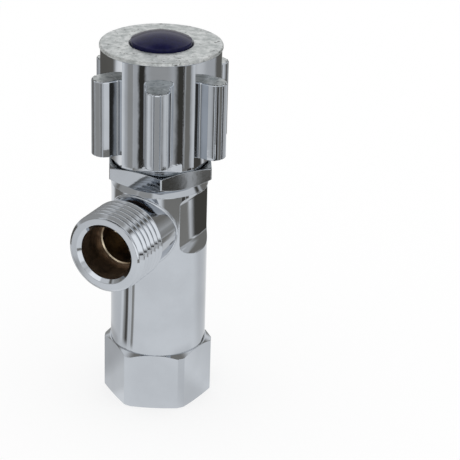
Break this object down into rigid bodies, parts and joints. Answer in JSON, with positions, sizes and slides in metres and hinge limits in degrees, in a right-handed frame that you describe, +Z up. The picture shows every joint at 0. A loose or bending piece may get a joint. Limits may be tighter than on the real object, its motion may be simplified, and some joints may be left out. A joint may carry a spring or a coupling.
{
  "type": "angle isolating valve",
  "caption": "Chrome-plated brass angle isolating valve with a female inlet below, a male threaded outlet at right angles and a round ribbed handle with a coloured button.",
  "frame": {"origin": "centre of the inlet's mouth, on the flat bottom face of the inlet hexagon", "axes": "+Z up the barrel to the handle, -Y along the outlet, away from the barrel"},
  "size_m": [0.0386, 0.0459, 0.101],
  "materials": {
    "chrome_plate": "polished chrome plate on forged brass",
    "bonnet_chrome": "polished chrome plate on turned brass",
    "handle_chrome": "chrome plate on a casting, with a satin, finely pitted top",
    "brass": "plain turned brass",
    "rubber": "black nitrile rubber",
    "fibre": "red fibre",
    "slip_plastic": "white slippery plastic",
    "spring_steel": "bright stainless steel",
    "button_plastic": "glossy deep indigo"
  },
  "bodies": {
    "body": {"valve_body": "chrome_plate", "bonnet": "bonnet_chrome", "bonnet_gasket": "fibre"},
    "spindle_and_handle": {"spindle": "brass", "lower_stem_seal": "rubber", "upper_stem_seal": "rubber", "thrust_ring": "slip_plastic", "retaining_clip": "spring_steel", "handle": "handle_chrome", "handle_screw": "spring_steel", "screw_washer": "spring_steel", "indicator_button": "button_plastic"},
    "plunger": {"plunger": "brass", "soft_washer": "rubber", "washer_screw": "spring_steel"}
  },
  "joints": [
    {"name": "spindle_turn", "type": "hinge", "parent": "body", "child": "spindle_and_handle", "pos_m": [0, 0, 0.084], "axis": [0, 0, 1], "range_deg": [0, 630]},
    {"name": "plunger_lift", "type": "slide", "parent": "body", "child": "plunger", "axis": [0, 0, 1], "range_m": [0, 0.0035]}
  ],
  "couplings": [
    {"joint": "spindle_turn", "follows": "plunger_lift", "rad_per_m": 3141.6}
  ]
}
